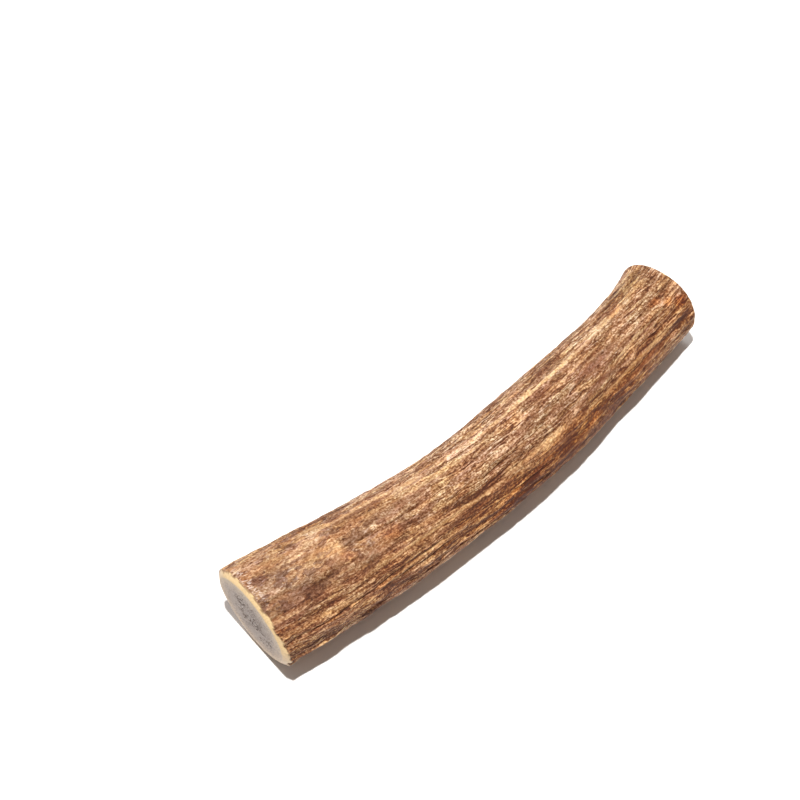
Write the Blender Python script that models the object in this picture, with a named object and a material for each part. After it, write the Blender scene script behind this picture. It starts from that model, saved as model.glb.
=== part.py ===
"""A cut length of deer antler, sawn at both ends and lying on its side.

Metres, +Z up. The wide sawn end is at -X and the narrow one at +X. The antler
bends in the level plane, hollow towards +Y and bulging towards -Y. The origin is
under the middle of the bounding box, on the surface that the antler lies on.
Angles around the antler start at +Y, the hollow side, and turn up through +Z.
"""
import math

import bmesh
import bpy
from mathutils import Matrix, Vector, noise

# Length and bend of the line through the antler's middle
LENGTH = 0.1809
BEND = math.radians(8.6)
BEND_CENTRE = 0.444
BEND_REACH = 0.248

# Diameters at even steps from the wide sawn end to the narrow one
DIAMETERS = (0.0340, 0.0327, 0.0300, 0.0299, 0.0275, 0.0254)

# The narrow end swells on its hollow side, where a side branch began
SWELLING = 0.0043
SWELLING_START = 0.82
SWELLING_SIDE = math.radians(0)

# How far the saw ran off square at each end: sideways, then up and down
WIDE_CUT = (math.radians(5.0), math.radians(-5.1))
NARROW_CUT = (math.radians(-1.5), math.radians(0.4))
CUT_FADE = 0.15

# The ground edge around each sawn face
EDGE_WIDTH = 0.0021
EDGE_DEPTH = 0.0011

# Slow swellings along the antler
LUMP_HEIGHT = 0.0005
LUMP_ROUND = 0.016
LUMP_LONG = 0.045
LUMP_SEED = 10.2

# Long gutters between the ridges, deepest on the bulging side
GUTTER_DEPTH = 0.00036
GUTTER_EXTRA = 0.00030
GUTTER_ROUND = 0.0032
GUTTER_LONG = 0.046
GUTTER_SEED = 7.3
GUTTER_SHARPNESS = 2.6
GUTTER_SIDE = math.radians(215)

# One deep crevice low on the bulging side, with a raised lip below it
CREVICE_DEPTH = 0.0010
CREVICE_SIDE = math.radians(189)
CREVICE_SHARE = 0.180
CREVICE_WIDTH = 0.0009
CREVICE_LENGTH = 0.0046
LIP_HEIGHT = 0.0007
LIP_OFFSET = 0.0030

# Short wrinkles, strongest towards the wide end
WRINKLE_HEIGHT = 0.0006
WRINKLE_ROUND = 0.0042
WRINKLE_LONG = 0.0090
WRINKLE_SEED = 21.6
WRINKLE_END = 0.55

# How far the gutters and wrinkles wander sideways as they run along
WOBBLE = 0.0011
WOBBLE_ROUND = 0.0050
WOBBLE_LONG = 0.0120
WOBBLE_SEED = 61.9

# How the antler lies once it has settled on a level surface
LIE_ROLL = math.radians(-1.86)
LIE_PITCH = math.radians(1.39)

# Fineness of the solid
AROUND = 104
ALONG = 43
CENTRELINE_STEPS = 400
SHARP_EDGE = math.radians(35)


def smooth_step(value):
    """0 below 0, 1 above 1, and a smooth rise between."""
    value = min(max(value, 0.0), 1.0)
    return value * value * (3.0 - 2.0 * value)


def radius_at(share):
    """Mean radius at a share of the length, on a smooth curve through the diameters."""
    last = len(DIAMETERS) - 1
    spot = share * last
    index = min(int(spot), last - 1)
    step = spot - index
    before = DIAMETERS[max(index - 1, 0)]
    start = DIAMETERS[index]
    end = DIAMETERS[index + 1]
    after = DIAMETERS[min(index + 2, last)]
    slope_in = (end - before) / 2.0
    slope_out = (after - start) / 2.0
    curve = start + step * slope_in
    curve += step ** 2 * (3.0 * (end - start) - 2.0 * slope_in - slope_out)
    curve += step ** 3 * (slope_in + slope_out - 2.0 * (end - start))
    return curve / 2.0


def centreline():
    """Points and headings along the middle line, with its two ends on the X axis."""
    step = LENGTH / CENTRELINE_STEPS
    points = [Vector((0.0, 0.0, 0.0))]
    headings = []
    for index in range(CENTRELINE_STEPS + 1):
        share = index / CENTRELINE_STEPS
        headings.append(BEND * math.tanh((share - BEND_CENTRE) / BEND_REACH))
    for index in range(CENTRELINE_STEPS):
        heading = (headings[index] + headings[index + 1]) / 2.0
        points.append(points[-1] + step * Vector((math.cos(heading), math.sin(heading), 0.0)))
    chord = math.atan2(points[-1].y, points[-1].x)
    turn = Matrix.Rotation(-chord, 3, "Z")
    return [turn @ point for point in points], [heading - chord for heading in headings]


def grain(angle, share, radius, width, length, seed):
    """Smooth noise on the skin, from -1 to 1, in patches of about this width and length."""
    across = radius / width
    spot = Vector((across * math.cos(angle) + seed, across * math.sin(angle), share * LENGTH / length))
    return noise.noise(spot)


def wobbled(angle, share, radius):
    """The angle, shifted a little either way so that what follows it wobbles."""
    return angle + WOBBLE / radius * grain(angle, share, radius, WOBBLE_ROUND, WOBBLE_LONG, WOBBLE_SEED)


def gutters(angle, share, radius):
    """Depth of the narrow gutters that run where the noise changes sign."""
    wave = grain(angle, share, radius, GUTTER_ROUND, GUTTER_LONG, GUTTER_SEED)
    bulging = smooth_step(0.5 + 0.5 * math.cos(angle - GUTTER_SIDE))
    return (GUTTER_DEPTH + GUTTER_EXTRA * bulging) * smooth_step(1.0 - GUTTER_SHARPNESS * abs(wave))


def crevice(angle, share, radius):
    """Depth of the one crevice less the height of its lip, both fading out all round."""
    off_side = radius * (angle - CREVICE_SIDE)
    off_share = LENGTH * (share - CREVICE_SHARE) / CREVICE_LENGTH
    hollow = CREVICE_DEPTH * math.exp(-(off_side / CREVICE_WIDTH) ** 2)
    lip = LIP_HEIGHT * math.exp(-((off_side - LIP_OFFSET) / (2.0 * CREVICE_WIDTH)) ** 2)
    return (hollow - lip) * math.exp(-off_share ** 2)


def swelling(angle, share):
    """Height of the swelling that grows towards the narrow end."""
    growth = max((share - SWELLING_START) / (1.0 - SWELLING_START), 0.0)
    return SWELLING * growth ** 2 * max(math.cos(angle - SWELLING_SIDE), 0.0) ** 2


def relief(angle, share, radius):
    """Height of the bark above its mean radius."""
    height = LUMP_HEIGHT * grain(angle, share, radius, LUMP_ROUND, LUMP_LONG, LUMP_SEED)
    wrinkling = WRINKLE_HEIGHT * (1.0 - smooth_step(share / WRINKLE_END))
    wandering = wobbled(angle, share, radius)
    height += wrinkling * grain(wandering, share, radius, WRINKLE_ROUND, WRINKLE_LONG, WRINKLE_SEED)
    height -= gutters(wandering, share, radius)
    height -= crevice(angle, share, radius)
    return height + swelling(angle, share)


def cut_slant(angle, share, radius):
    """How far a point slides along the antler so that the sawn end is off square."""
    wide = max(1.0 - share / CUT_FADE, 0.0)
    narrow = max(1.0 - (1.0 - share) / CUT_FADE, 0.0)
    sideways = wide * math.tan(WIDE_CUT[0]) + narrow * math.tan(NARROW_CUT[0])
    upright = wide * math.tan(WIDE_CUT[1]) + narrow * math.tan(NARROW_CUT[1])
    return radius * (upright * math.sin(angle) - sideways * math.cos(angle))


def ring_stations():
    """Share of the length and inset of each ring, the ground edges included."""
    edge = EDGE_DEPTH / LENGTH
    stations = [(0.0, EDGE_WIDTH)]
    for index in range(ALONG):
        stations.append((edge + (1.0 - 2.0 * edge) * index / (ALONG - 1), 0.0))
    stations.append((1.0, EDGE_WIDTH))
    return stations


def antler_mesh():
    """The closed skin: rings of points along the middle line and a flat face on each end."""
    points, headings = centreline()
    solid = bmesh.new()
    rings = []
    for share, inset in ring_stations():
        spot = share * CENTRELINE_STEPS
        index = min(int(spot), CENTRELINE_STEPS - 1)
        centre = points[index].lerp(points[index + 1], spot - index)
        heading = headings[index] + (headings[index + 1] - headings[index]) * (spot - index)
        forward = Vector((math.cos(heading), math.sin(heading), 0.0))
        hollow_side = Vector((-forward.y, forward.x, 0.0))
        mean = radius_at(share)
        ring = []
        for step in range(AROUND):
            angle = 2.0 * math.pi * step / AROUND
            radius = mean + relief(angle, share, mean) - inset
            outward = hollow_side * math.cos(angle) + Vector((0.0, 0.0, math.sin(angle)))
            slide = cut_slant(angle, share, radius)
            ring.append(solid.verts.new(centre + outward * radius + forward * slide))
        rings.append(ring)
    for near, far in zip(rings, rings[1:]):
        for step in range(AROUND):
            after = (step + 1) % AROUND
            solid.faces.new((near[step], near[after], far[after], far[step]))
    solid.faces.new(rings[0])
    solid.faces.new(rings[-1])
    bmesh.ops.recalc_face_normals(solid, faces=solid.faces)
    mesh = bpy.data.meshes.new("antler")
    solid.to_mesh(mesh)
    solid.free()
    mesh.shade_smooth()
    mesh.set_sharp_from_angle(angle=SHARP_EDGE)
    return mesh


def antler_material():
    """Light brown antler with a dull, slightly waxy surface."""
    material = bpy.data.materials.new("antler")
    material.use_nodes = True
    shader = material.node_tree.nodes["Principled BSDF"]
    shader.inputs["Base Color"].default_value = (0.38, 0.21, 0.10, 1.0)
    shader.inputs["Roughness"].default_value = 0.6
    shader.inputs["Metallic"].default_value = 0.0
    return material


def lay_down(piece):
    """Turn the antler to its resting pose and put the origin under the middle of its box."""
    turn = Matrix.Rotation(LIE_PITCH, 4, "Y") @ Matrix.Rotation(LIE_ROLL, 4, "X")
    corners = [turn @ vertex.co for vertex in piece.data.vertices]
    middle_x = (min(corner.x for corner in corners) + max(corner.x for corner in corners)) / 2.0
    middle_y = (min(corner.y for corner in corners) + max(corner.y for corner in corners)) / 2.0
    lowest = min(corner.z for corner in corners)
    piece.rotation_euler = turn.to_euler()
    piece.location = (-middle_x, -middle_y, -lowest)


for leftover in list(bpy.data.objects):
    bpy.data.objects.remove(leftover, do_unlink=True)

antler = bpy.data.objects.new("antler", antler_mesh())
antler.data.materials.append(antler_material())
bpy.context.scene.collection.objects.link(antler)
lay_down(antler)
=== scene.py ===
import math

import bpy
from mathutils import Matrix, Vector, noise


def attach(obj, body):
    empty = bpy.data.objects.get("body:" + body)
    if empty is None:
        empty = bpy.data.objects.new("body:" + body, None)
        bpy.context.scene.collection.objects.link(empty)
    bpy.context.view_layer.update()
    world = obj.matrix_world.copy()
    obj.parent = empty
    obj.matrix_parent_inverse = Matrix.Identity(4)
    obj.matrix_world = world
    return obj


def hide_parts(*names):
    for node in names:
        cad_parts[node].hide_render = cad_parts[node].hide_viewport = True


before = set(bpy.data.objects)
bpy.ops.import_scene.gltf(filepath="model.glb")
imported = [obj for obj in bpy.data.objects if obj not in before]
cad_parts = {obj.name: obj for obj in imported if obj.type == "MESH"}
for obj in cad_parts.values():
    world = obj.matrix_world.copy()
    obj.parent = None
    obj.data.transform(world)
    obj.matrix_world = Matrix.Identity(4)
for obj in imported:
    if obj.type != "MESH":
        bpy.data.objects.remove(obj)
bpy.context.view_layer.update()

# The antler
# One cut length of a deer's antler: solid bone that grew in one piece with a gentle bend.
# A saw took it off nearly square at both ends, and the edges of both cuts were ground.
# It lies loose on its side, with the bend level.

# The bent line through its middle, the diameters at even steps along that line, how far the saw
# ran off square at each end, sideways and upright, and how it lies
LENGTH = 0.1809
BEND = math.radians(8.6)
BEND_CENTRE = 0.444
BEND_REACH = 0.248
CENTRELINE_STEPS = 400
DIAMETERS = (0.0340, 0.0327, 0.0300, 0.0299, 0.0275, 0.0254)
WIDE_CUT = (math.radians(5.0), math.radians(-5.1))
NARROW_CUT = (math.radians(-1.5), math.radians(0.4))
CUT_FADE = 0.15
LIE_ROLL = math.radians(-1.86)
LIE_PITCH = math.radians(1.39)


def smooth_step(value):
    """0 below 0, 1 above 1, and a smooth rise between."""
    value = min(max(value, 0.0), 1.0)
    return value * value * (3.0 - 2.0 * value)


def radius_at(share):
    """Mean radius at a share of the length, on a smooth curve through the diameters."""
    last = len(DIAMETERS) - 1
    spot = share * last
    index = min(int(spot), last - 1)
    step = spot - index
    before = DIAMETERS[max(index - 1, 0)]
    start = DIAMETERS[index]
    end = DIAMETERS[index + 1]
    after = DIAMETERS[min(index + 2, last)]
    slope_in = (end - before) / 2.0
    slope_out = (after - start) / 2.0
    curve = start + step * slope_in
    curve += step ** 2 * (3.0 * (end - start) - 2.0 * slope_in - slope_out)
    curve += step ** 3 * (slope_in + slope_out - 2.0 * (end - start))
    return curve / 2.0


def centreline():
    """Points and headings along the middle line, with its two ends on the X axis."""
    step = LENGTH / CENTRELINE_STEPS
    points = [Vector((0.0, 0.0, 0.0))]
    headings = []
    for index in range(CENTRELINE_STEPS + 1):
        share = index / CENTRELINE_STEPS
        headings.append(BEND * math.tanh((share - BEND_CENTRE) / BEND_REACH))
    for index in range(CENTRELINE_STEPS):
        heading = (headings[index] + headings[index + 1]) / 2.0
        points.append(points[-1] + step * Vector((math.cos(heading), math.sin(heading), 0.0)))
    chord = math.atan2(points[-1].y, points[-1].x)
    turn = Matrix.Rotation(-chord, 3, "Z")
    return [turn @ point for point in points], [heading - chord for heading in headings]


POINTS, HEADINGS = centreline()


def place(angle, share, radius):
    """Where a point of the antler is, before it is laid down."""
    spot = share * CENTRELINE_STEPS
    index = min(int(spot), CENTRELINE_STEPS - 1)
    centre = POINTS[index].lerp(POINTS[index + 1], spot - index)
    heading = HEADINGS[index] + (HEADINGS[index + 1] - HEADINGS[index]) * (spot - index)
    forward = Vector((math.cos(heading), math.sin(heading), 0.0))
    hollow_side = Vector((-forward.y, forward.x, 0.0))
    wide = max(1.0 - share / CUT_FADE, 0.0)
    narrow = max(1.0 - (1.0 - share) / CUT_FADE, 0.0)
    sideways = wide * math.tan(WIDE_CUT[0]) + narrow * math.tan(NARROW_CUT[0])
    upright = wide * math.tan(WIDE_CUT[1]) + narrow * math.tan(NARROW_CUT[1])
    slide = radius * (upright * math.sin(angle) - sideways * math.cos(angle))
    outward = hollow_side * math.cos(angle) + Vector((0.0, 0.0, math.sin(angle)))
    return centre + outward * radius + forward * slide


# The antler grew under a skin full of blood vessels, which left long gutters between ridges.
# Fine flutes run between the gutters, and towards the wide end the bark is wrinkled.

# Slow lumps all along, and a swelling on the hollow side of the narrow end
LUMP_HEIGHT = 0.0005
LUMP_ROUND = 0.016
LUMP_LONG = 0.045
LUMP_SEED = 10.2
SWELLING = 0.0043
SWELLING_START = 0.82
SWELLING_SIDE = math.radians(0)

# Long gutters, deepest on the bulging side
GUTTER_DEPTH = 0.00036
GUTTER_EXTRA = 0.00030
GUTTER_ROUND = 0.0032
GUTTER_LONG = 0.046
GUTTER_SEED = 7.3
GUTTER_SHARPNESS = 2.6
GUTTER_SIDE = math.radians(215)

# One deep crevice low on the bulging side, with a raised lip below it
CREVICE_DEPTH = 0.0010
CREVICE_SIDE = math.radians(189)
CREVICE_SHARE = 0.180
CREVICE_WIDTH = 0.0009
CREVICE_LENGTH = 0.0046
LIP_HEIGHT = 0.0007
LIP_OFFSET = 0.0030

# Short wrinkles, strongest towards the wide end
WRINKLE_HEIGHT = 0.0006
WRINKLE_ROUND = 0.0042
WRINKLE_LONG = 0.0090
WRINKLE_SEED = 21.6
WRINKLE_END = 0.55

# Short flutes with pearls on them, and furrows that are faintest on the side above the bulge
FLUTE_HEIGHT = 0.00022
FLUTE_ROUND = 0.0013
FLUTE_LONG = 0.0075
FLUTE_SEED = 33.1
FLUTE_SHARPNESS = 2.6
FLUTE_LEVEL = 0.5
PEARL_HEIGHT = 0.00012
PEARL_ROUND = 0.0008
PEARL_LONG = 0.0018
PEARL_SEED = 41.7
FURROW_DEPTH = 0.00030
FURROW_LEAST = 0.35
FURROW_ROUND = 0.0021
FURROW_LONG = 0.019
FURROW_SEED = 54.3
FURROW_SHARPNESS = 3.2
FURROW_LEVEL = 0.7
FAINT_SIDE = math.radians(150)
FAINT_START = 1.1
FAINT_DROP = 0.9

# How far all these wander sideways as they run along, the fine ones less
WOBBLE = 0.0011
WOBBLE_ROUND = 0.0050
WOBBLE_LONG = 0.0120
WOBBLE_SEED = 61.9
FINE_WOBBLE = 0.00055
FINE_WOBBLE_ROUND = 0.0020
FINE_WOBBLE_LONG = 0.0048

# The hollow side is smoother
SMOOTH_SIDE = math.radians(20)
SMOOTH_SPREAD = 0.9
SMOOTHER = 0.6


def grain(angle, share, radius, width, length, seed):
    """Smooth noise on the skin, from -1 to 1, in patches of about this width and length."""
    across = radius / width
    spot = Vector((across * math.cos(angle) + seed, across * math.sin(angle), share * LENGTH / length))
    return noise.noise(spot)


def gutters(angle, share, radius):
    """Depth of the narrow gutters that run where the noise changes sign."""
    wave = grain(angle, share, radius, GUTTER_ROUND, GUTTER_LONG, GUTTER_SEED)
    bulging = smooth_step(0.5 + 0.5 * math.cos(angle - GUTTER_SIDE))
    return (GUTTER_DEPTH + GUTTER_EXTRA * bulging) * smooth_step(1.0 - GUTTER_SHARPNESS * abs(wave))


def crevice(angle, share, radius):
    """Depth of the one crevice less the height of its lip, both fading out all round."""
    off_side = radius * (angle - CREVICE_SIDE)
    off_share = LENGTH * (share - CREVICE_SHARE) / CREVICE_LENGTH
    hollow = CREVICE_DEPTH * math.exp(-(off_side / CREVICE_WIDTH) ** 2)
    lip = LIP_HEIGHT * math.exp(-((off_side - LIP_OFFSET) / (2.0 * CREVICE_WIDTH)) ** 2)
    return (hollow - lip) * math.exp(-off_share ** 2)


def swelling(angle, share):
    """Height of the swelling that grows towards the narrow end."""
    growth = max((share - SWELLING_START) / (1.0 - SWELLING_START), 0.0)
    return SWELLING * growth ** 2 * max(math.cos(angle - SWELLING_SIDE), 0.0) ** 2


def ruggedness(angle):
    """How rugged the bark is: 1, and less on the smoother hollow side."""
    return 1.0 - SMOOTHER * smooth_step(math.cos(angle - SMOOTH_SIDE) / SMOOTH_SPREAD)


def main_relief(angle, share, radius):
    """Slow forms of the bark: the lumps, the swelling and the crevice."""
    height = LUMP_HEIGHT * grain(angle, share, radius, LUMP_ROUND, LUMP_LONG, LUMP_SEED)
    return height - crevice(angle, share, radius) + swelling(angle, share)


def ridge_relief(angle, share, radius):
    """Gutters, ridges and wrinkles, which wobble a little as they run along."""
    angle += WOBBLE / radius * grain(angle, share, radius, WOBBLE_ROUND, WOBBLE_LONG, WOBBLE_SEED)
    wrinkling = WRINKLE_HEIGHT * (1.0 - smooth_step(share / WRINKLE_END))
    height = wrinkling * grain(angle, share, radius, WRINKLE_ROUND, WRINKLE_LONG, WRINKLE_SEED)
    return ruggedness(angle) * (height - gutters(angle, share, radius))


def pearl_relief(angle, share, radius):
    """Furrows, short flutes and the pearls on them."""
    wobble = grain(angle, share, radius, FINE_WOBBLE_ROUND, FINE_WOBBLE_LONG, WOBBLE_SEED)
    angle += FINE_WOBBLE / radius * wobble
    furrow = abs(grain(angle, share, radius, FURROW_ROUND, FURROW_LONG, FURROW_SEED))
    flute = abs(grain(angle, share, radius, FLUTE_ROUND, FLUTE_LONG, FLUTE_SEED))
    pearl = grain(angle, share, radius, PEARL_ROUND, PEARL_LONG, PEARL_SEED)
    strong = smooth_step(FAINT_START - FAINT_DROP * math.cos(angle - FAINT_SIDE)) * ruggedness(angle)
    depth = FURROW_DEPTH * (FURROW_LEAST + (1.0 - FURROW_LEAST) * strong)
    height = depth * (min(FURROW_SHARPNESS * furrow, 1.0) - FURROW_LEVEL)
    height += FLUTE_HEIGHT * (min(FLUTE_SHARPNESS * flute, 1.0) - FLUTE_LEVEL)
    return height + PEARL_HEIGHT * pearl


# The skin is one closed surface. The saw left flat faces, and the edges around them were ground so
# that a dog's mouth meets no burr, which cut the ridges there down to pale bone.

# Rings of points along the skin, closer together at the ground edges
AROUND = 264
ALONG = 290
EDGE_RINGS = 7
EDGE_REACH = 2.2
EDGE_WIDTH = 0.0021
EDGE_DEPTH = 0.0011

# How raggedly the grinding cut into the bark, and the side where it went further in
EDGE_SOFTNESS = 0.00054
EDGE_SEED = 71.5
RAGGED = 0.0014
RAGGED_ROUND = 0.0034
RAGGED_LONG = 0.0300
FRAYED = 0.0004
FRAYED_ROUND = 0.0013
RIDGE_FRAYING = 0.7
PEARL_FRAYING = 0.1
DEEPEST_FRAYING = 0.0011
GROUND_MORE = 0.0009
GROUND_SIDE = math.radians(202)
GROUND_NARROWNESS = 3.0

# The bark is calmer in the last few millimetres before the narrow end
CALM_LENGTH = 0.005
CALM_LEAST = 0.4

# The skin's values are kept in millimetres for the finish
MILLIMETRES = 1000.0

vertices = []
faces = []
skin = []
turns = []
heights = []
bones = []
middles = []
pores = []
flats = []


def add_point(angle, share, radius, flat_radius, height, bone, middle, pore, sunk=0.0):
    """Keep one point of the skin with the values that its finish needs."""
    flats.append((share, angle / (2.0 * math.pi)))
    point = place(angle, share, radius)
    point.x += sunk
    vertices.append(point)
    flat_spot = Vector((flat_radius * math.cos(angle), flat_radius * math.sin(angle), share * LENGTH))
    skin.append(flat_spot * MILLIMETRES)
    turns.append(Vector((math.cos(angle), math.sin(angle), share)))
    heights.append(height * MILLIMETRES)
    bones.append(bone)
    middles.append(middle)
    pores.append(pore)
    return len(vertices) - 1


def bark_stations():
    """Shares of the length, close together at the ground edges."""
    edge = EDGE_REACH * EDGE_DEPTH / LENGTH
    stations = [edge * index / EDGE_RINGS for index in range(EDGE_RINGS)]
    stations += [edge + (1.0 - 2.0 * edge) * index / (ALONG - 1) for index in range(ALONG)]
    stations += [1.0 - edge * index / EDGE_RINGS for index in range(EDGE_RINGS - 1, -1, -1)]
    return stations


def bark_point(angle, share):
    """Radius of the skin, height of its fine relief, and how far it is ground down to bone."""
    mean = radius_at(share)
    slow = main_relief(angle, share, mean)
    calm = CALM_LEAST + (1.0 - CALM_LEAST) * smooth_step((1.0 - share) * LENGTH / CALM_LENGTH)
    ridge = calm * ridge_relief(angle, share, mean)
    pearl = calm * pearl_relief(angle, share, mean)
    from_end = min(share, 1.0 - share) * LENGTH
    room = EDGE_WIDTH - from_end * EDGE_WIDTH / EDGE_DEPTH
    ragged = RAGGED * grain(angle, share, mean, RAGGED_ROUND, RAGGED_LONG, EDGE_SEED)
    ragged += FRAYED * grain(angle, share, mean, FRAYED_ROUND, RAGGED_LONG, EDGE_SEED)
    ragged += GROUND_MORE * smooth_step(1.0 - GROUND_NARROWNESS * (1.0 - math.cos(angle - GROUND_SIDE)))
    proud = max(RIDGE_FRAYING * ridge + PEARL_FRAYING * pearl + ragged, -DEEPEST_FRAYING)
    bone = smooth_step(0.5 + (proud + room) / EDGE_SOFTNESS)
    return mean + slow + min(ridge + pearl, -room), pearl - gutters(angle, share, mean), bone


# How far out a point is: 0 in the middle of a sawn face, 1 at its rim, and this on the bark
BARK_MIDDLE = 1.25


def bark_ring(share):
    """One ring of the skin."""
    ring = []
    for step in range(AROUND):
        angle = 2.0 * math.pi * step / AROUND
        radius, height, bone = bark_point(angle, share)
        ring.append(add_point(angle, share, radius, radius_at(share), height, bone, BARK_MIDDLE, 0.0))
    return ring


def join_rings(outer, inner, turned):
    """Faces between two rings of a sawn face, the inner one with as many points or half."""
    found = []
    count = len(outer)
    if len(inner) == count:
        for step in range(count):
            after = (step + 1) % count
            found.append((outer[step], outer[after], inner[after], inner[step]))
    else:
        for step in range(len(inner)):
            one = outer[2 * step]
            two = outer[2 * step + 1]
            three = outer[(2 * step + 2) % count]
            here = inner[step]
            after = inner[(step + 1) % len(inner)]
            found += [(one, two, here), (two, after, here), (two, three, after)]
    return [face[::-1] if turned else face for face in found]


# Inside its solid rim a sawn face shows a spongy core, whose edge wanders, with pores that are
# wide open in some places and closed in others
CORE_SHARE = 0.80
CORE_RINGS = 40
RIM_RINGS = 6
FEWEST_AROUND = 33
THINNING = 0.6
CORE_WANDER = 0.15
CORE_WAVES = 1.6
CORE_FADE = 0.5
PORE_SIZE = 0.00078
PORE_DEPTH = 0.0004
WIDE_PORES_SEED = 0.5
NARROW_PORES_SEED = 9.5
OPEN_MEAN = 0.72
OPEN_SPREAD = 1.1
OPEN_PATCHES = 0.22
OPEN_SHIFT = (3.0, 7.0)
OPEN_GAIN = 2.0
WALL_CLOSED = 0.58
WALL_OPENING = 0.30
WALL_SOFTNESS = 0.18


def pore_at(angle, radius, inward, seed):
    """How open the spongy core is at a spot, 0 on its walls and 1 in a pore."""
    waves = Vector((CORE_WAVES * math.cos(angle), CORE_WAVES * math.sin(angle), seed))
    edge = CORE_SHARE * (1.0 + CORE_WANDER * noise.noise(waves))
    spot = Vector((radius * math.cos(angle), radius * math.sin(angle), 0.0)) / PORE_SIZE
    patches = noise.noise(OPEN_PATCHES * spot + Vector((seed, *OPEN_SHIFT)))
    inside_core = smooth_step((edge - inward) / (CORE_FADE * CORE_SHARE))
    open_share = inside_core * smooth_step(OPEN_MEAN + OPEN_SPREAD * patches)
    distances = noise.voronoi(spot + Vector((0.0, 0.0, seed)))[0]
    wall = distances[1] - distances[0]
    inside_pore = smooth_step((wall - WALL_CLOSED + WALL_OPENING * open_share) / WALL_SOFTNESS)
    return inside_pore * smooth_step(open_share * OPEN_GAIN)


def sawn_face(rim, share, turned, inside, seed):
    """A flat sawn face: rings that close in from the rim to the middle."""
    reach = [bark_point(2.0 * math.pi * step / AROUND, share)[0] for step in range(AROUND)]
    outer = rim
    count = AROUND
    shares = [1.0 - (1.0 - CORE_SHARE) * index / RIM_RINGS for index in range(1, RIM_RINGS + 1)]
    shares += [CORE_SHARE * (1.0 - index / CORE_RINGS) for index in range(1, CORE_RINGS)]
    for inward in shares:
        if count > FEWEST_AROUND and inward * AROUND < THINNING * count:
            count //= 2
        ring = []
        for step in range(count):
            angle = 2.0 * math.pi * step / count
            radius = reach[step * AROUND // count] * inward
            pore = pore_at(angle, radius, inward, seed)
            sunk = inside * pore * PORE_DEPTH
            ring.append(add_point(angle, share, radius, radius, 0.0, 1.0, inward, pore, sunk))
        faces.extend(join_rings(outer, ring, turned))
        outer = ring
    centre = add_point(0.0, share, 0.0, 0.0, 0.0, 1.0, 0.0, 0.0)
    for step in range(len(outer)):
        triangle = (outer[step], outer[(step + 1) % len(outer)], centre)
        faces.append(triangle[::-1] if turned else triangle)


bark_rings = [bark_ring(share) for share in bark_stations()]
for near, far in zip(bark_rings, bark_rings[1:]):
    for step in range(AROUND):
        after = (step + 1) % AROUND
        faces.append((near[step], near[after], far[after], far[step]))
bark_faces = len(faces)
sawn_face(bark_rings[0], 0.0, True, 1.0, WIDE_PORES_SEED)
sawn_face(bark_rings[-1], 1.0, False, -1.0, NARROW_PORES_SEED)

turn = Matrix.Rotation(LIE_PITCH, 4, "Y") @ Matrix.Rotation(LIE_ROLL, 4, "X")
vertices = [turn @ point for point in vertices]
middle_x = (min(point.x for point in vertices) + max(point.x for point in vertices)) / 2.0
middle_y = (min(point.y for point in vertices) + max(point.y for point in vertices)) / 2.0
lowest = min(point.z for point in vertices)
shift = Vector((middle_x, middle_y, lowest))
vertices = [point - shift for point in vertices]

mesh = bpy.data.meshes.new("antler_skin")
mesh.from_pydata(vertices, [], faces)
mesh.validate()
for name, values in (("height", heights), ("bone", bones), ("middle", middles), ("pore", pores)):
    mesh.attributes.new(name, "FLOAT", "POINT").data.foreach_set("value", values)
for name, values in (("skin", skin), ("turn", turns)):
    numbers = [number for point in values for number in point]
    mesh.attributes.new(name, "FLOAT_VECTOR", "POINT").data.foreach_set("vector", numbers)

# The flat map to bake on: the bark unrolled below, and the two sawn faces as discs side by side above
# it
MAP_MARGIN = 0.01
BARK_MAP_LONG = 0.98
BARK_MAP_HIGH = 0.60
DISC_RADIUS = 0.17
FIRST_DISC = 0.20
DISC_STEP = 0.50
DISC_HEIGHT = 0.80

flat_map = mesh.uv_layers.new(name="OFBake")
for polygon in mesh.polygons:
    shares = [flats[index][0] for index in polygon.vertices]
    around = [flats[index][1] for index in polygon.vertices]
    if polygon.index < bark_faces:
        seam = max(around) - min(around) > 0.5
        around = [1.0 if seam and value < 0.5 else value for value in around]
        places = [
            (MAP_MARGIN + BARK_MAP_LONG * share, MAP_MARGIN + BARK_MAP_HIGH * value)
            for share, value in zip(shares, around)
        ]
    else:
        across = FIRST_DISC + DISC_STEP * round(shares[0])
        reach = [DISC_RADIUS * min(middles[index], 1.0) for index in polygon.vertices]
        angles = [2.0 * math.pi * value for value in around]
        places = [
            (across + size * math.cos(angle), DISC_HEIGHT + size * math.sin(angle))
            for size, angle in zip(reach, angles)
        ]
    for loop, place_flat in zip(polygon.loop_indices, places):
        flat_map.data[loop].uv = place_flat

SHARP_EDGE = math.radians(50)
mesh.shade_smooth()
mesh.set_sharp_from_angle(angle=SHARP_EDGE)
antler = bpy.data.objects.new("antler_skin", mesh)
bpy.context.scene.collection.objects.link(antler)

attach(antler, "root")
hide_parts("antler")

# The bark is stained brown by the juices of plants and by soil, rubbed pale on its ridges and
# dark in its gutters. The sawn bone is cream towards its rim and grey and porous inside.

material = bpy.data.materials.new("antler")
material.use_nodes = True
tree = material.node_tree
shader = tree.nodes["Principled BSDF"]


def attribute(name, output="Fac"):
    """A value kept with the mesh."""
    node = tree.nodes.new("ShaderNodeAttribute")
    node.attribute_name = name
    return node.outputs[output]


def feed(socket, value):
    """Give a socket a number, a vector or another node's output."""
    if isinstance(value, bpy.types.NodeSocket):
        tree.links.new(value, socket)
    else:
        socket.default_value = value


def maths(operation, first, second=0.0, clamp=False):
    """Arithmetic on two numbers or sockets."""
    node = tree.nodes.new("ShaderNodeMath")
    node.operation = operation
    node.use_clamp = clamp
    feed(node.inputs[0], first)
    feed(node.inputs[1], second)
    return node.outputs[0]


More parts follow.
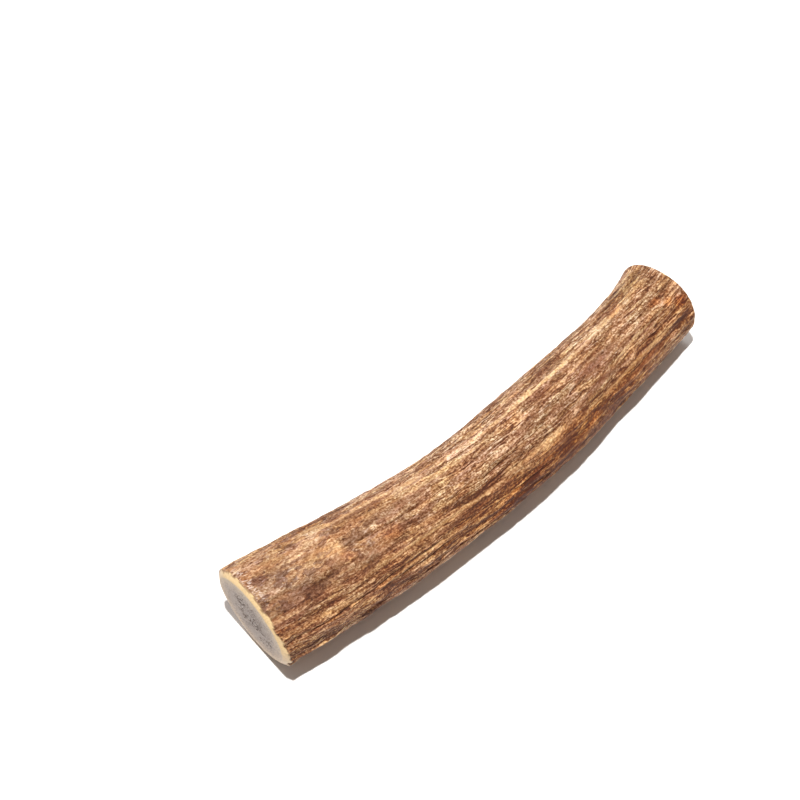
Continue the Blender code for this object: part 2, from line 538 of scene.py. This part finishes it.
def add(*terms):
    """The sum of several values."""
    total = terms[0]
    for term in terms[1:]:
        total = maths("ADD", total, term)
    return total


def times(first, second):
    """The product of two values."""
    return maths("MULTIPLY", first, second)


def outside(mask):
    """1 where a mask is 0, and 0 where it is 1."""
    return maths("SUBTRACT", 1.0, mask)


def vectors(operation, first, second):
    """Arithmetic on two vectors or sockets."""
    node = tree.nodes.new("ShaderNodeVectorMath")
    node.operation = operation
    feed(node.inputs[0], first)
    feed(node.inputs[1], second)
    return node.outputs["Value" if operation in ("LENGTH", "DOT_PRODUCT") else "Vector"]


def stretch(value, low, high, to_low=0.0, to_high=1.0):
    """Stretch a value smoothly from one range to another."""
    node = tree.nodes.new("ShaderNodeMapRange")
    node.interpolation_type = "SMOOTHSTEP"
    feed(node.inputs["Value"], value)
    for name, number in zip(("From Min", "From Max", "To Min", "To Max"), (low, high, to_low, to_high)):
        node.inputs[name].default_value = number
    return node.outputs["Result"]


def fall(value, low, high):
    """1 where a value is below a range, and 0 where it is above it."""
    return stretch(value, low, high, 1.0, 0.0)


def laid_out(where, width, length, seed):
    """Coordinates for a pattern of about this width and length in millimetres, moved by a seed."""
    scaled = vectors("MULTIPLY", where, (1.0 / width, 1.0 / width, 1.0 / length))
    return vectors("ADD", scaled, (seed, seed * 1.7, seed * 0.6))


def cloud(where, width, length, seed, detail, roughness, output="Fac"):
    """Noise of about this width and length in millimetres, from 0 to 1."""
    node = tree.nodes.new("ShaderNodeTexNoise")
    node.inputs["Scale"].default_value = 1.0
    node.inputs["Detail"].default_value = detail
    node.inputs["Roughness"].default_value = roughness
    feed(node.inputs["Vector"], laid_out(where, width, length, seed))
    return node.outputs[output]


def cells(where, width, length, seed):
    """Cells of about this size: how far a spot is from its cell's middle, and the cell's own chance."""
    node = tree.nodes.new("ShaderNodeTexVoronoi")
    node.inputs["Scale"].default_value = 1.0
    feed(node.inputs["Vector"], laid_out(where, width, length, seed))
    split = tree.nodes.new("ShaderNodeSeparateColor")
    feed(split.inputs[0], node.outputs["Color"])
    return node.outputs["Distance"], split.outputs[0]


def swing(value, size):
    """A noise from 0 to 1 turned into one that swings by half this much either way."""
    return times(maths("SUBTRACT", value, 0.5), size)


def line(wave, level, width):
    """1 where a noise is at a level and 0 where it is further off: thin lines along the skin."""
    return fall(maths("ABSOLUTE", maths("SUBTRACT", wave, level)), 0.0, width)


def colour(red, green, blue):
    """A colour given as it looks on a screen, 0 to 255, without the screen's curve."""
    linear = []
    for value in (red, green, blue):
        value /= 255.0
        linear.append(value / 12.92 if value <= 0.04045 else ((value + 0.055) / 1.055) ** 2.4)
    return (*linear, 1.0)


def ramp(value, stops):
    """Colours by value, from stops in rising order that start at 0 and end at 1."""
    node = tree.nodes.new("ShaderNodeValToRGB")
    feed(node.inputs["Fac"], value)
    elements = node.color_ramp.elements
    for position, shade in stops[1:-1]:
        elements.new(position)
    for element, (position, shade) in zip(elements, stops):
        element.color = colour(*shade)
    return node.outputs["Color"]


# The node that mixes has one set of sockets for each kind of value: these are the ones for colour
MIX_FIRST = 6
MIX_SECOND = 7
MIX_RESULT = 2


def blend(share, first, second, kind="MIX"):
    """Mix two colours, each given as a socket or as screen values."""
    node = tree.nodes.new("ShaderNodeMix")
    node.data_type = "RGBA"
    node.blend_type = kind
    feed(node.inputs["Factor"], share)
    for slot, value in ((MIX_FIRST, first), (MIX_SECOND, second)):
        feed(node.inputs[slot], colour(*value) if isinstance(value, tuple) else value)
    return node.outputs[MIX_RESULT]


flat_skin = attribute("skin", "Vector")
turn_about = attribute("turn", "Vector")
height = attribute("height")
bone = attribute("bone")
middle = attribute("middle")
pore = attribute("pore")
split_turn = tree.nodes.new("ShaderNodeSeparateXYZ")
feed(split_turn.inputs[0], turn_about)
along = split_turn.outputs["Z"]

# Noises that push the skin's coordinates about, so that what follows them wobbles: width, length,
# seed, detail, roughness, then how far across and how far along, with all sizes in millimetres
WAVY = (4.0, 11.0, 3.1, 2.0, 0.55, 2.2, 5.0)
RAGGED_PUSH = (1.1, 1.9, 8.4, 2.0, 0.55, 1.1, 1.9)
SWAYED = (0.9, 1.8, 17.0, 2.0, 0.55, 1.6, 0.0)
MEAN_RADIUS = 15.0
MEAN_LENGTH = 180.0
SWAY = 0.042


def push(where, width, length, seed, detail, roughness, far, far_along):
    """The skin's coordinates, pushed about by a noise."""
    noise_colour = cloud(where, width, length, seed, detail, roughness, "Color")
    centred = vectors("SUBTRACT", noise_colour, (0.5, 0.5, 0.5))
    return vectors("ADD", where, vectors("MULTIPLY", centred, (far, far, far_along)))


wavy = push(flat_skin, *WAVY)
ragged = push(wavy, *RAGGED_PUSH)
shifted = vectors("SUBTRACT", ragged, flat_skin)
to_turn = (1.0 / MEAN_RADIUS, 1.0 / MEAN_RADIUS, 1.0 / MEAN_LENGTH)
turn_ragged = vectors("ADD", turn_about, vectors("MULTIPLY", shifted, to_turn))
swayed = vectors("SUBTRACT", push(wavy, *SWAYED), flat_skin)
turn_wavy = vectors("ADD", turn_about, vectors("MULTIPLY", swayed, (SWAY, SWAY, 0.0)))


def spot(where, side, share, wide, long, softness=0.5):
    """A soft oval on the skin, 1 inside: its middle in degrees and share, its half sizes likewise."""
    side = math.radians(side)
    wide = 2.0 * math.sin(math.radians(wide) / 2.0)
    centred = vectors("SUBTRACT", where, (math.cos(side), math.sin(side), share))
    scaled = vectors("DIVIDE", centred, (wide, wide, long))
    return fall(vectors("LENGTH", scaled, (0.0, 0.0, 0.0)), 1.0 - softness, 1.0 + softness)


def facing(side, low, high):
    """1 on the skin that faces a side, given in degrees, and 0 away from it."""
    direction = (math.cos(math.radians(side)), math.sin(math.radians(side)), 0.0)
    flat = vectors("MULTIPLY", turn_about, (1.0, 1.0, 0.0))
    return stretch(vectors("DOT_PRODUCT", flat, direction), low, high)


# Where the bark has which pattern: mottled on top of the wide third, streaked everywhere else
near_third = fall(along, 0.12, 0.42)
far_half = stretch(along, 0.55, 0.80)
bulging = facing(205, 0.0, 0.9)
mottled = times(near_third, facing(88, 0.55, 0.86))
streaked = outside(mottled)

# Crust: plates of darker bark, whose edges are dark where the crust is broken and pale where not.
# A noise is given by its width and length in millimetres, seed, detail and roughness.
CRUST_NEAR = (3.2, 6.0, 17.9, 3.0, 0.64)
CRUST_FAR = (1.25, 17.0, 12.2, 3.0, 0.60)
BREAKS = (3.0, 7.0, 9.2, 1.0, 0.5)
PLATE_LEVELS = (0.455, 0.525)
BREAK_LEVELS = (0.40, 0.58)
DARK_EDGE = (0.46, 0.030)
PALE_EDGE = (0.54, 0.030)
crust = add(times(cloud(ragged, *CRUST_NEAR), mottled), times(cloud(wavy, *CRUST_FAR), streaked))
plate = fall(crust, *PLATE_LEVELS)
broken = stretch(cloud(flat_skin, *BREAKS), *BREAK_LEVELS)
whole = outside(broken)
dark_edge = times(line(crust, *DARK_EDGE), broken)
pale_edge = times(line(crust, *PALE_EDGE), whole)

# Pits, each in a cell of its own, and not in every cell
PITS = (1.2, 2.0, 7.7)
PIT_REACH = (0.20, 0.36)
PIT_CHANCE = (0.50, 0.60)
pit_distance, pit_chance = cells(ragged, *PITS)
pits = times(fall(pit_distance, *PIT_REACH), stretch(pit_chance, *PIT_CHANCE))

# Long cracks that come and go, fine striae, dashes, speckle, blotches and a slow drift
CRACKS = (2.0, 22.0, 14.4, 1.0, 0.5)
CRACK_LINE = (0.5, 0.040)
CRACK_GAPS = (4.0, 12.0, 9.2, 2.0, 0.55)
CRACK_LEVELS = (0.46, 0.62)
STRIAE = (0.62, 26.0, 6.6, 2.0, 0.6)
DASHES = (0.8, 2.2, 15.9, 2.0, 0.6)
SPECKLE = (0.55, 0.75, 23.0, 2.0, 0.6)
BLOTCHES = (1.4, 2.4, 26.5, 1.0, 0.5)
DRIFT = (9.0, 30.0, 5.0, 1.0, 0.5)
crack_lines = line(cloud(wavy, *CRACKS), *CRACK_LINE)
cracks = times(crack_lines, stretch(cloud(flat_skin, *CRACK_GAPS), *CRACK_LEVELS))
striae = cloud(wavy, *STRIAE)
dashes = cloud(ragged, *DASHES)
speckle = cloud(flat_skin, *SPECKLE)
blotches = cloud(ragged, *BLOTCHES)
drift = cloud(flat_skin, *DRIFT)

# Thin ridges, each a pale crest with a dark line of painted shade beside it
WIDE_RIDGES = (2.0, 30.0, 4.4, 1.0, 0.5)
SHORT_RIDGES = (2.1, 6.5, 19.3, 1.0, 0.5)
FINE_RIDGES = (1.1, 20.0, 28.1, 1.0, 0.5)
RIDGE_CREST = (0.50, 0.040)
RIDGE_SHADE = (0.56, 0.040)


def ridges(where, pattern):
    """Thin lines that run along the skin: above 0 on a crest and below 0 in the shade beside it."""
    wave = cloud(where, *pattern)
    return maths("SUBTRACT", line(wave, *RIDGE_CREST), line(wave, *RIDGE_SHADE))


# How far each of these changes the tone, which runs from 0, dark, to 1, pale
HEIGHT_TONE = 0.26
PLATE_TONE = -0.13
PLATE_TONE_MOTTLED = 0.01
PLATE_EDGE_TONE = 0.13
RIDGE_TONE = 0.12
RIDGE_TONE_WHOLE = 0.20
SHORT_RIDGE_TONE = 0.05
SHORT_RIDGE_TONE_WHOLE = 0.15
FINE_RIDGE_TONE = 0.14
CRACK_TONE = -0.08
CRUST_TONE = 0.22
STRIAE_TONE = 0.66
STRIAE_MOTTLED = 0.12
BLOTCH_TONE = 0.30
DRIFT_TONE = 0.10
PIT_TONE = -0.10
PIT_TONE_PLATE = 0.06
DASH_TONE = 0.62
DASH_STREAKED = -0.15
SPECKLE_TONE = 1.20
SPECKLE_PLAIN = 1.08
SPECKLE_PLATE = -0.18
SPECKLE_STREAKED = 0.33
wide_ridges = times(ridges(wavy, WIDE_RIDGES), streaked)
short_ridges = times(ridges(ragged, SHORT_RIDGES), mottled)
fine_ridges = times(ridges(wavy, FINE_RIDGES), streaked)
coarse = add(
    times(height, HEIGHT_TONE),
    times(plate, add(PLATE_TONE, times(mottled, PLATE_TONE_MOTTLED))),
    times(dark_edge, -PLATE_EDGE_TONE),
    times(pale_edge, PLATE_EDGE_TONE),
    times(wide_ridges, add(RIDGE_TONE, times(whole, RIDGE_TONE_WHOLE))),
    times(short_ridges, add(SHORT_RIDGE_TONE, times(whole, SHORT_RIDGE_TONE_WHOLE))),
    times(fine_ridges, FINE_RIDGE_TONE),
    times(cracks, add(CRACK_TONE, times(bulging, CRACK_TONE))),
    swing(crust, CRUST_TONE),
    times(swing(striae, STRIAE_TONE), add(STRIAE_MOTTLED, times(streaked, 1.0 - STRIAE_MOTTLED))),
    times(swing(blotches, BLOTCH_TONE), streaked),
    swing(drift, DRIFT_TONE),
)
speckling = add(SPECKLE_PLAIN, times(plate, SPECKLE_PLATE), times(streaked, SPECKLE_STREAKED))
fine = add(
    times(pits, add(PIT_TONE, times(plate, PIT_TONE_PLATE))),
    times(swing(dashes, DASH_TONE), add(1.0, times(streaked, DASH_STREAKED))),
    times(swing(speckle, SPECKLE_TONE), speckling),
)

# Soft paler and darker patches: side in degrees, share of the length, half width in degrees, half
# length as a share, change of tone
PATCHES = (
    (103, 0.152, 16, 0.022, 0.15),
    (45, 0.160, 9, 0.080, -0.12),
    (98, 0.092, 9, 0.040, 0.08),
    (117, 0.105, 12, 0.036, -0.08),
    (75, 0.125, 8, 0.050, 0.13),
    (45, 0.330, 8, 0.090, 0.09),
    (56, 0.400, 15, 0.150, 0.05),
    (79, 0.195, 6, 0.015, -0.12),
    (142, 0.130, 9, 0.025, 0.08),
    (120, 0.165, 8, 0.020, -0.06),
    (118, 0.300, 7, 0.024, -0.06),
    (151, 0.280, 6, 0.045, -0.10),
    (75, 0.330, 7, 0.045, 0.10),
    (76, 0.425, 8, 0.080, 0.14),
    (105, 0.375, 6, 0.030, 0.08),
    (127, 0.420, 8, 0.080, -0.18),
    (148, 0.424, 5, 0.100, -0.10),
    (58, 0.685, 7, 0.050, -0.16),
    (62, 0.620, 6, 0.045, 0.10),
    (66, 0.790, 5, 0.045, 0.10),
    (76, 0.600, 7, 0.110, 0.09),
    (75, 0.800, 7, 0.090, 0.15),
    (90, 0.625, 7, 0.035, -0.12),
    (126, 0.625, 5, 0.025, -0.12),
    (95, 0.835, 8, 0.070, -0.12),
    (122, 0.740, 6, 0.065, -0.05),
    (135, 0.795, 5, 0.060, 0.13),
    (105, 0.960, 7, 0.028, -0.02),
    (105, 0.875, 7, 0.030, 0.10),
    (156, 0.765, 6, 0.060, -0.12),
    (136, 0.700, 5, 0.060, 0.10),
    (155, 0.955, 14, 0.030, -0.22),
    (154, 0.840, 8, 0.050, 0.09),
    (165, 0.620, 8, 0.050, -0.12),
    (180, 0.560, 12, 0.120, -0.34),
    (54, 0.892, 7, 0.028, -0.22),
    (47, 0.965, 5, 0.014, -0.24),
    (78, 0.965, 7, 0.020, -0.08),
)

# The strongest ridges, dark lines, plates and flakes: side in degrees, share of the length, half
# width in degrees, half length as a share, tone, strength
STREAKS = (
    (104.0, 0.154, 12.0, 0.016, 0.74, 0.34),
    (93.0, 0.132, 8.0, 0.020, 0.70, 0.28),
    (74.5, 0.328, 4.0, 0.030, 0.86, 0.70),
    (139.0, 0.355, 2.8, 0.150, 0.88, 0.75),
    (146.5, 0.410, 3.0, 0.090, 0.34, 0.60),
    (136.5, 0.550, 2.6, 0.065, 0.86, 0.70),
    (151.0, 0.550, 1.6, 0.060, 0.80, 0.50),
    (145.5, 0.815, 2.8, 0.135, 0.86, 0.75),
    (156.5, 0.875, 2.8, 0.110, 0.32, 0.55),
    (77.5, 0.645, 2.6, 0.160, 0.88, 0.75),
    (82.0, 0.640, 1.8, 0.120, 0.38, 0.45),
    (72.0, 0.845, 4.5, 0.050, 0.80, 0.55),
    (93.0, 0.700, 1.7, 0.095, 0.86, 0.60),
    (96.8, 0.740, 1.6, 0.065, 0.30, 0.60),
    (69.5, 0.240, 1.9, 0.090, 0.82, 0.65),
    (73.2, 0.225, 1.5, 0.090, 0.34, 0.55),
    (87.5, 0.400, 1.9, 0.110, 0.84, 0.65),
    (91.0, 0.370, 1.7, 0.070, 0.36, 0.50),
    (85.0, 0.090, 1.3, 0.026, 0.95, 0.75),
    (88.0, 0.080, 1.3, 0.030, 0.34, 0.50),
    (158.0, 0.320, 1.8, 0.075, 0.82, 0.60),
    (135.5, 0.035, 2.0, 0.040, 0.82, 0.65),
    (139.5, 0.035, 1.5, 0.045, 0.32, 0.50),
    (154.5, 0.080, 1.8, 0.070, 0.80, 0.60),
    (172.0, 0.600, 1.7, 0.060, 0.84, 0.55),
    (121.0, 0.860, 1.6, 0.055, 0.84, 0.60),
    (127.0, 0.870, 1.6, 0.050, 0.84, 0.60),
    (124.0, 0.865, 1.4, 0.050, 0.36, 0.50),
    (106.0, 0.755, 7.0, 0.062, 0.42, 0.65),
    (128.5, 0.730, 4.5, 0.060, 0.40, 0.60),
    (95.0, 0.290, 4.0, 0.045, 0.38, 0.40),
    (119.0, 0.068, 7.0, 0.040, 0.42, 0.28),
    (126.0, 0.200, 7.0, 0.026, 0.36, 0.34),
    (91.0, 0.245, 5.0, 0.018, 0.38, 0.34),
    (87.0, 0.625, 4.0, 0.035, 0.42, 0.50),
)
STREAK_SOFTNESS = 0.6
CONTRAST = 0.96
CONTRAST_STREAKED = 0.20
MEAN_TONE = 0.555
MEAN_TONE_MOTTLED = -0.035
contrast = add(CONTRAST, times(streaked, CONTRAST_STREAKED))
tone = add(MEAN_TONE, times(mottled, MEAN_TONE_MOTTLED), times(coarse, contrast))
for side, share, wide, long, change in PATCHES:
    tone = add(tone, times(spot(turn_ragged, side, share, wide, long), change))
pale_streaks = 0.0
dark_streaks = 0.0
for side, share, wide, long, level, strength in STREAKS:
    covered = times(spot(turn_wavy, side, share, wide, long, STREAK_SOFTNESS), strength)
    tone = add(tone, times(covered, maths("SUBTRACT", level, tone)))
    if level > 0.5:
        pale_streaks = maths("MAXIMUM", pale_streaks, covered)
    else:
        dark_streaks = maths("MAXIMUM", dark_streaks, covered)
unstreaked = outside(pale_streaks)
plain = outside(maths("MAXIMUM", pale_streaks, dark_streaks))

# The fine patterns fade on the streaks, painted shade darkens the low side of the bark, and the low far
# half is darker a little
FINE_ON_STREAKS = 0.50
FINE_FAR_HALF = -0.08
LOW_SIDE_SHADE_TONE = -0.07
LOW_FAR_TONE = -0.02
fine_left = add(FINE_ON_STREAKS, times(plain, 1.0 - FINE_ON_STREAKS), times(far_half, FINE_FAR_HALF))
tone = add(tone, times(times(fine, contrast), fine_left))
painted_shade_low_side = facing(165, 0.72, 0.97)
low_far = times(facing(178, 0.78, 0.97), stretch(along, 0.28, 0.50))
low_far = times(low_far, fall(along, 0.78, 0.90))
tone = add(tone, times(painted_shade_low_side, LOW_SIDE_SHADE_TONE), times(low_far, LOW_FAR_TONE))

# Colours of the bark by tone, as they look on a screen
BARK_SHADES = (
    (0.0, (77, 39, 9)),
    (0.2, (113, 70, 34)),
    (0.4, (141, 103, 67)),
    (0.6, (172, 138, 104)),
    (0.8, (206, 177, 144)),
    (1.0, (236, 213, 180)),
)
bark_colour = ramp(tone, BARK_SHADES)

# Stains that spread all over the bark in soft clouds
GOLDEN = (5.0, 14.0, 31.0, 1.0, 0.5)
GOLDEN_LEVELS = (0.40, 0.60)
GOLDEN_STREAKS = 1.3
ROSY = (3.6, 9.0, 61.0, 2.0, 0.6)
ROSY_LEVELS = (0.42, 0.60)
AMBER = (0.9, 2.4, 67.0, 2.0, 0.6)
AMBER_LEVELS = (0.46, 0.60)
PURPLE_PLATES = 0.40
PURPLE_MOTTLED = 0.55
PURPLE_STREAKS = 1.4
golden = times(stretch(cloud(ragged, *GOLDEN), *GOLDEN_LEVELS), outside(plate))
golden = maths("MAXIMUM", golden, times(pale_streaks, GOLDEN_STREAKS), True)
rosy = times(stretch(cloud(ragged, *ROSY), *ROSY_LEVELS), unstreaked)
amber = stretch(cloud(ragged, *AMBER), *AMBER_LEVELS)
purple = times(times(plate, unstreaked), add(PURPLE_PLATES, times(mottled, PURPLE_MOTTLED)))
purple = maths("MAXIMUM", purple, times(dark_streaks, PURPLE_STREAKS), True)

# Stains in places of their own: side in degrees, share of the length, half width in degrees and
# half length as a share of each spot
TAN_SPOTS = ((103, 0.152, 18, 0.024),)
ORANGE_SPOTS = ((112, 0.170, 8, 0.012), (115, 0.255, 9, 0.016), (71, 0.865, 5, 0.022))
GREY_SPOTS = ((110, 0.045, 34, 0.055),)
RUST_SPOTS = ((104, 0.930, 5, 0.016), (117, 0.950, 6, 0.014), (130, 0.976, 7, 0.014))
WARM_SPOTS = ((132, 0.955, 17, 0.032),)
OLIVE_SPOTS = ((49, 0.93, 11, 0.060),)


def spots_of(places):
    """1 inside any of several soft ovals on the skin."""
    covered = 0.0
    for oval in places:
        covered = maths("MAXIMUM", covered, spot(turn_ragged, *oval))
    return covered


# Each tint in turn: where it is, how strong it is, and the colour that it multiplies the bark by
STAINS = (
    (golden, 0.52, (252, 232, 184)),
    (rosy, 0.65, (255, 236, 236)),
    (amber, 0.45, (255, 236, 204)),
    (times(purple, streaked), 1.0, (236, 226, 248)),
    (times(purple, mottled), 1.0, (230, 232, 255)),
    # Painted shade: the low side of the bark made darker and warmer
    (painted_shade_low_side, 1.0, (252, 240, 222)),
    # Warmer and a little darker low on the far half
    (low_far, 0.62, (255, 224, 150)),
    (spots_of(TAN_SPOTS), 0.42, (255, 228, 172)),
    (spots_of(ORANGE_SPOTS), 0.50, (255, 210, 150)),
    (spots_of(GREY_SPOTS), 0.80, (236, 238, 255)),
    (spots_of(RUST_SPOTS), 0.65, (255, 196, 112)),
    (spots_of(WARM_SPOTS), 0.60, (255, 232, 200)),
    (spots_of(OLIVE_SPOTS), 0.55, (200, 196, 160)),
)
for covered, strength, shade in STAINS:
    bark_colour = blend(times(covered, strength), bark_colour, shade, "MULTIPLY")

# Painted glints beside the wide cut, on top of the antler: pale highlights painted into the bark's
# colour
GLINT_CLOUDS = (0.5, 1.6, 51.0, 1.0, 0.5)
GLINT_LEVELS = (0.54, 0.62)
GLINT_PLACE = (86, 0.012, 26, 0.009, 0.4)
GLINT_STRENGTH = 0.65
GLINT_COLOUR = (222, 200, 184)
glint_chance = stretch(cloud(ragged, *GLINT_CLOUDS), *GLINT_LEVELS)
painted_glints = times(times(spot(turn_ragged, *GLINT_PLACE), glint_chance), outside(bone))
bark_colour = blend(times(painted_glints, GLINT_STRENGTH), bark_colour, GLINT_COLOUR)

# Colours of the bare bone from the middle of a cut outwards, warmer at the top than low down as painted
# light
# In both sets the low stops, which colour the sawn faces, are the bone's own grey made darker still as
# painted shade
BONE_COLOURS_LIT = (
    (0.0, (156, 143, 136)),
    (0.50, (166, 152, 143)),
    (0.62, (180, 164, 150)),
    (0.74, (192, 176, 156)),
    (0.83, (206, 185, 155)),
    (0.90, (214, 186, 142)),
    (1.0, (226, 195, 144)),
)
# The same bone in painted shade, for where it faces down
BONE_COLOURS_IN_SHADE = (
    (0.0, (156, 143, 136)),
    (0.50, (166, 152, 143)),
    (0.62, (178, 161, 147)),
    (0.80, (196, 176, 154)),
    (1.0, (206, 184, 158)),
)
BONE_CLOUDS = (1.6, 1.6, 44.0, 3.0, 0.6)
BONE_UNEVEN = 0.50
OUTWARDS = 0.8
outwards = add(times(middle, OUTWARDS), swing(cloud(flat_skin, *BONE_CLOUDS), BONE_UNEVEN))
# Painted light and shade: the lit colours where the bone faces up, the shaded ones low down
bone_lit_from_above = facing(110, -0.10, 0.60)
bone_colour = blend(bone_lit_from_above, ramp(outwards, BONE_COLOURS_IN_SHADE), ramp(outwards, BONE_COLOURS_LIT))

# Fine grey grain and dark specks towards the middle of the cut, and the pores, dark inside as painted
# shade
BONE_GRAIN = (0.42, 0.42, 47.0, 2.0, 0.6)
BONE_GRAIN_LEVELS = (0.46, 0.62)
BONE_GRAIN_COLOUR = (192, 184, 180)
SPECKS = (0.60, 0.60, 83.0, 1.0, 0.5)
SPECK_LEVELS = (0.60, 0.68)
SPECK_REACH = (0.20, 0.70)
SPECK_STRENGTH = 0.60
SPECK_COLOUR = (96, 86, 80)
PORE_SHADE_STRENGTH = 0.92
PORE_SHADE_COLOUR = (62, 55, 52)
bone_grain = stretch(cloud(flat_skin, *BONE_GRAIN), *BONE_GRAIN_LEVELS)
bone_grain = times(bone_grain, stretch(middle, 0.80, 1.05, 1.0, 0.25))
specks = times(stretch(cloud(flat_skin, *SPECKS), *SPECK_LEVELS), fall(middle, *SPECK_REACH))
bone_colour = blend(bone_grain, bone_colour, BONE_GRAIN_COLOUR, "MULTIPLY")
bone_colour = blend(times(specks, SPECK_STRENGTH), bone_colour, SPECK_COLOUR)
bone_colour = blend(times(pore, PORE_SHADE_STRENGTH), bone_colour, PORE_SHADE_COLOUR)

# Bark and bare bone meet in a thin brown line
BROWN_LINE_STRENGTH = 1.8
BROWN_LINE_COLOUR = (150, 112, 74)
brown_line = times(times(bone, outside(bone)), BROWN_LINE_STRENGTH)
final_colour = blend(bone, bark_colour, bone_colour)
final_colour = blend(brown_line, final_colour, BROWN_LINE_COLOUR, "MULTIPLY")
tree.links.new(final_colour, shader.inputs["Base Color"])

# Dull and a little waxy, with the pale ridges rubbed smoother, and a fine bump all over the bark
ROUGHNESS_DARK = 0.70
ROUGHNESS_PALE = 0.50
SPECULAR_LEVEL = 0.35
BUMP_STRENGTH = 0.9
BUMP_DEPTH = 0.0003
BUMP_PATTERN = 0.9
feed(shader.inputs["Roughness"], stretch(tone, 0.0, 1.0, ROUGHNESS_DARK, ROUGHNESS_PALE))
shader.inputs["Specular IOR Level"].default_value = SPECULAR_LEVEL
bump = tree.nodes.new("ShaderNodeBump")
bump.inputs["Strength"].default_value = BUMP_STRENGTH
bump.inputs["Distance"].default_value = BUMP_DEPTH
feed(bump.inputs["Height"], times(times(add(coarse, fine), BUMP_PATTERN), outside(bone)))
tree.links.new(bump.outputs["Normal"], shader.inputs["Normal"])
antler.data.materials.append(material)

# The table
# The plain white table top that the antler lies on, matt and far wider than the view.
# It is part of the studio and not of the piece.

TABLE_SIZE = 4.0
TABLE_COLOUR = (0.86, 0.86, 0.845, 1.0)
TABLE_ROUGHNESS = 0.9
half = TABLE_SIZE / 2.0
corners = [(-half, -half, 0.0), (half, -half, 0.0), (half, half, 0.0), (-half, half, 0.0)]
table_mesh = bpy.data.meshes.new("table")
table_mesh.from_pydata(corners, [], [(0, 1, 2, 3)])
table = bpy.data.objects.new("table", table_mesh)
bpy.context.scene.collection.objects.link(table)
white = bpy.data.materials.new("table")
white.use_nodes = True
white.node_tree.nodes["Principled BSDF"].inputs["Base Color"].default_value = TABLE_COLOUR
white.node_tree.nodes["Principled BSDF"].inputs["Roughness"].default_value = TABLE_ROUGHNESS
table.data.materials.append(white)

# The camera
# It looks down on the antler from beyond the wide end, on the bulging side, at the photo's angle.
# Its place is given by azimuth, elevation and distance round the point that it looks at.

CAMERA_AZIMUTH = math.radians(-43.25)
CAMERA_ELEVATION = math.radians(54.15)
CAMERA_DISTANCE = 0.65
CAMERA_AIM = Vector((-0.0026, 0.0325, 0.015))
CAMERA_LENS = 92.3
away = Vector((
    math.sin(CAMERA_AZIMUTH) * math.cos(CAMERA_ELEVATION),
    -math.cos(CAMERA_AZIMUTH) * math.cos(CAMERA_ELEVATION),
    math.sin(CAMERA_ELEVATION),
))
camera = bpy.data.objects.new("camera", bpy.data.cameras.new("camera"))
camera.data.lens = CAMERA_LENS
camera.location = CAMERA_AIM + CAMERA_DISTANCE * away
camera.rotation_euler = (-away).to_track_quat("-Z", "Y").to_euler()
bpy.context.scene.collection.objects.link(camera)
bpy.context.scene.camera = camera

# The light
# A small lamp almost straight above gives the shadow its hard edge, a broad soft one stands
# behind the antler, and a pale warm sky fills the shadows.

LAMP_DISTANCE = 1.6
KEY_DIRECTION = Vector((-0.133, -0.07, 1.0))
KEY_SIZE = 0.07
KEY_POWER = 34.0
BACK_DIRECTION = Vector((0.15, 0.90, 0.70))
BACK_SIZE = 0.60
BACK_POWER = 8.0
SKY_COLOUR = (1.0, 0.89, 0.85, 1.0)
SKY_STRENGTH = 0.30


def lamp(name, direction, size, power):
    """A round lamp that shines on the middle of the table from a direction."""
    data = bpy.data.lights.new(name, "AREA")
    data.shape = "DISK"
    data.size = size
    data.energy = power
    thing = bpy.data.objects.new(name, data)
    thing.location = direction.normalized() * LAMP_DISTANCE
    thing.rotation_euler = (-direction).to_track_quat("-Z", "Y").to_euler()
    bpy.context.scene.collection.objects.link(thing)


lamp("key lamp", KEY_DIRECTION, KEY_SIZE, KEY_POWER)
lamp("back lamp", BACK_DIRECTION, BACK_SIZE, BACK_POWER)

sky = bpy.data.worlds.new("studio")
sky.use_nodes = True
sky.node_tree.nodes["Background"].inputs["Color"].default_value = SKY_COLOUR
sky.node_tree.nodes["Background"].inputs["Strength"].default_value = SKY_STRENGTH
bpy.context.scene.world = sky
bpy.context.scene.view_settings.view_transform = "Standard"
